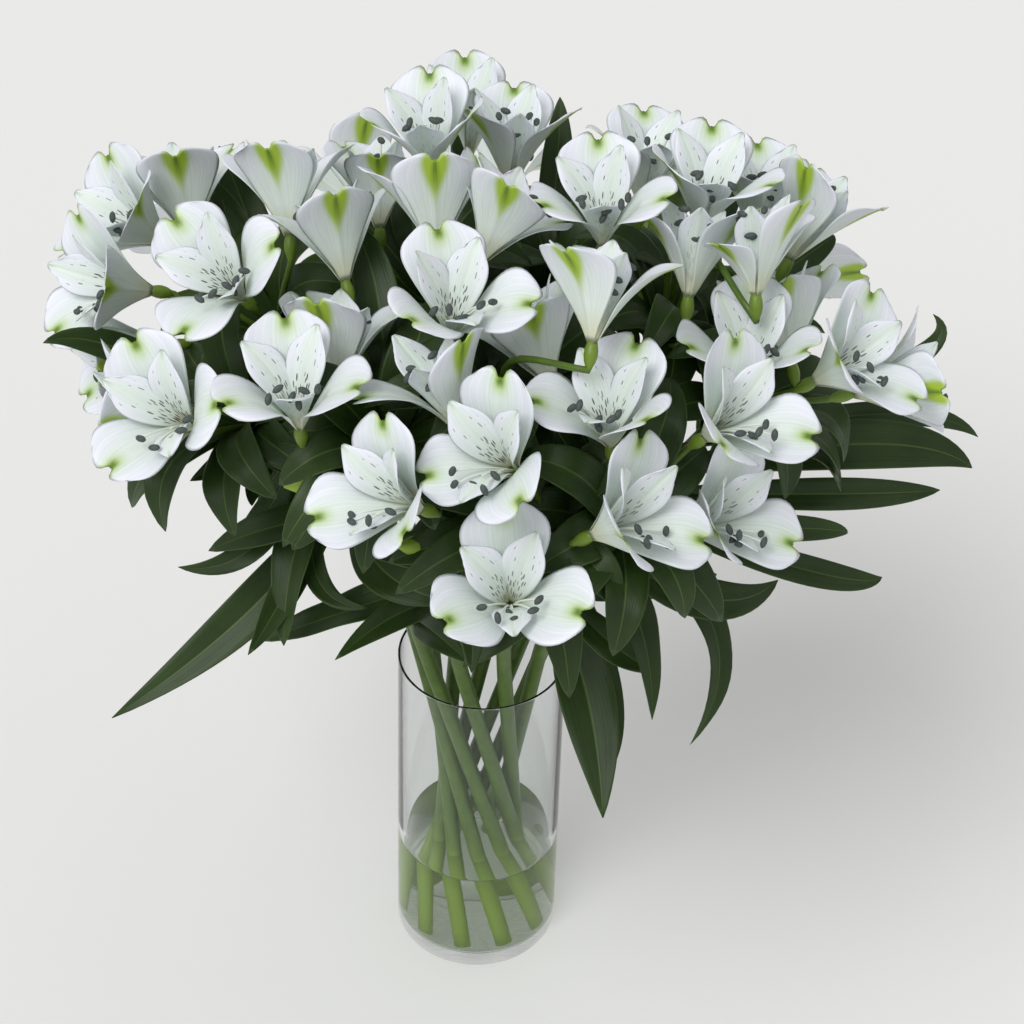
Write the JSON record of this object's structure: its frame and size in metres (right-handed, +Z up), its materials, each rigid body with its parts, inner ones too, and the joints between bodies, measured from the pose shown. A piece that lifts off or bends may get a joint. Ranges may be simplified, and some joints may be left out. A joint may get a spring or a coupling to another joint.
{
  "type": "bunch of alstroemeria stems in a vase",
  "caption": "Bunch of white Peruvian lily stems with open blooms, buds and leaves, standing in water in a clear glass cylinder vase.",
  "frame": {"origin": "middle of the vase's flat foot, on the surface that it stands on", "axes": "+Z up, -Y towards the side the picture was taken from, +X to that view's right"},
  "size_m": [0.3876, 0.3719, 0.4591],
  "materials": {
    "white_tepals": "soft satin petals, white with a cool tint, green at the tips",
    "leaf_green": "smooth waxy leaves and canes, dark green",
    "clear_glass": "clear polished soda-lime glass",
    "still_water": "clear still water"
  },
  "bodies": {
    "root": {"bloom_01": "white_tepals", "bloom_02": "white_tepals", "bloom_03": "white_tepals", "bloom_04": "white_tepals", "bloom_05": "white_tepals", "bloom_06": "white_tepals", "bloom_07": "white_tepals", "bloom_08": "white_tepals", "bloom_09": "white_tepals", "bloom_10": "white_tepals", "bloom_11": "white_tepals", "bloom_12": "white_tepals", "bloom_13": "white_tepals", "bloom_14": "white_tepals", "bloom_15": "white_tepals", "bloom_16": "white_tepals", "bloom_17": "white_tepals", "bloom_18": "white_tepals", "bloom_19": "white_tepals", "bloom_20": "white_tepals", "bloom_21": "white_tepals", "bloom_22": "white_tepals", "bloom_23": "white_tepals", "bloom_24": "white_tepals", "bloom_25": "white_tepals", "bloom_26": "white_tepals", "bloom_27": "white_tepals", "bloom_28": "white_tepals", "bloom_29": "white_tepals", "bloom_30": "white_tepals", "bloom_31": "white_tepals", "bloom_32": "white_tepals", "bloom_33": "white_tepals", "bloom_34": "white_tepals", "bloom_35": "white_tepals", "bloom_36": "white_tepals", "bloom_37": "white_tepals", "bloom_38": "white_tepals", "bloom_39": "white_tepals", "bloom_40": "white_tepals", "bloom_41": "white_tepals", "bloom_42": "white_tepals", "bloom_43": "white_tepals", "bloom_44": "white_tepals", "stem_a": "leaf_green", "stem_b": "leaf_green", "stem_c": "leaf_green", "stem_d": "leaf_green", "stem_e": "leaf_green", "stem_f": "leaf_green", "stem_g": "leaf_green", "stem_h": "leaf_green", "stem_i": "leaf_green", "stem_j": "leaf_green", "vase": "clear_glass", "water": "still_water"}
  },
  "joints": []
}
